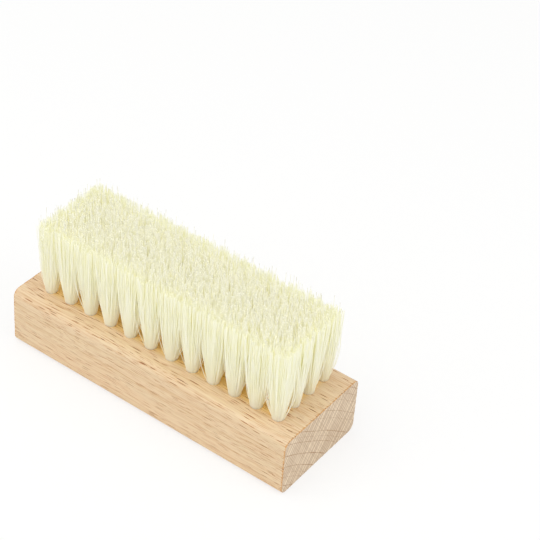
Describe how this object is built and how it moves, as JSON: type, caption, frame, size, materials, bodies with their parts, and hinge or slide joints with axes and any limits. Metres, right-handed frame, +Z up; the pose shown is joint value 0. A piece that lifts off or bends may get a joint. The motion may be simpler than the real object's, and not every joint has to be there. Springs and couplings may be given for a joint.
{
  "type": "shoe brush",
  "caption": "Rectangular beech scrubbing brush for shoes, with rows of trimmed pale nylon tufts set in blind holes in one face of the block.",
  "frame": {"origin": "centre of the block's flat back, on which the brush lies with its bristles up", "axes": "+X along the block, +Y across it towards the back long side, +Z up through the block towards the bristle tips"},
  "size_m": [0.12, 0.0426, 0.0552],
  "materials": {
    "beech": "bare planed and sanded beech, no lacquer",
    "nylon_bristle": "translucent ivory drawn nylon filament, trimmed and uneven at the tips"
  },
  "bodies": {
    "root": {"block": "beech", "tuft_row1_col01": "nylon_bristle", "tuft_row1_col02": "nylon_bristle", "tuft_row1_col03": "nylon_bristle", "tuft_row1_col04": "nylon_bristle", "tuft_row1_col05": "nylon_bristle", "tuft_row1_col06": "nylon_bristle", "tuft_row1_col07": "nylon_bristle", "tuft_row1_col08": "nylon_bristle", "tuft_row1_col09": "nylon_bristle", "tuft_row1_col10": "nylon_bristle", "tuft_row1_col11": "nylon_bristle", "tuft_row1_col12": "nylon_bristle", "tuft_row2_col01": "nylon_bristle", "tuft_row2_col02": "nylon_bristle", "tuft_row2_col03": "nylon_bristle", "tuft_row2_col04": "nylon_bristle", "tuft_row2_col05": "nylon_bristle", "tuft_row2_col06": "nylon_bristle", "tuft_row2_col07": "nylon_bristle", "tuft_row2_col08": "nylon_bristle", "tuft_row2_col09": "nylon_bristle", "tuft_row2_col10": "nylon_bristle", "tuft_row2_col11": "nylon_bristle", "tuft_row2_col12": "nylon_bristle", "tuft_row3_col01": "nylon_bristle", "tuft_row3_col02": "nylon_bristle", "tuft_row3_col03": "nylon_bristle", "tuft_row3_col04": "nylon_bristle", "tuft_row3_col05": "nylon_bristle", "tuft_row3_col06": "nylon_bristle", "tuft_row3_col07": "nylon_bristle", "tuft_row3_col08": "nylon_bristle", "tuft_row3_col09": "nylon_bristle", "tuft_row3_col10": "nylon_bristle", "tuft_row3_col11": "nylon_bristle", "tuft_row3_col12": "nylon_bristle", "tuft_row4_col01": "nylon_bristle", "tuft_row4_col02": "nylon_bristle", "tuft_row4_col03": "nylon_bristle", "tuft_row4_col04": "nylon_bristle", "tuft_row4_col05": "nylon_bristle", "tuft_row4_col06": "nylon_bristle", "tuft_row4_col07": "nylon_bristle", "tuft_row4_col08": "nylon_bristle", "tuft_row4_col09": "nylon_bristle", "tuft_row4_col10": "nylon_bristle", "tuft_row4_col11": "nylon_bristle", "tuft_row4_col12": "nylon_bristle"}
  },
  "joints": []
}
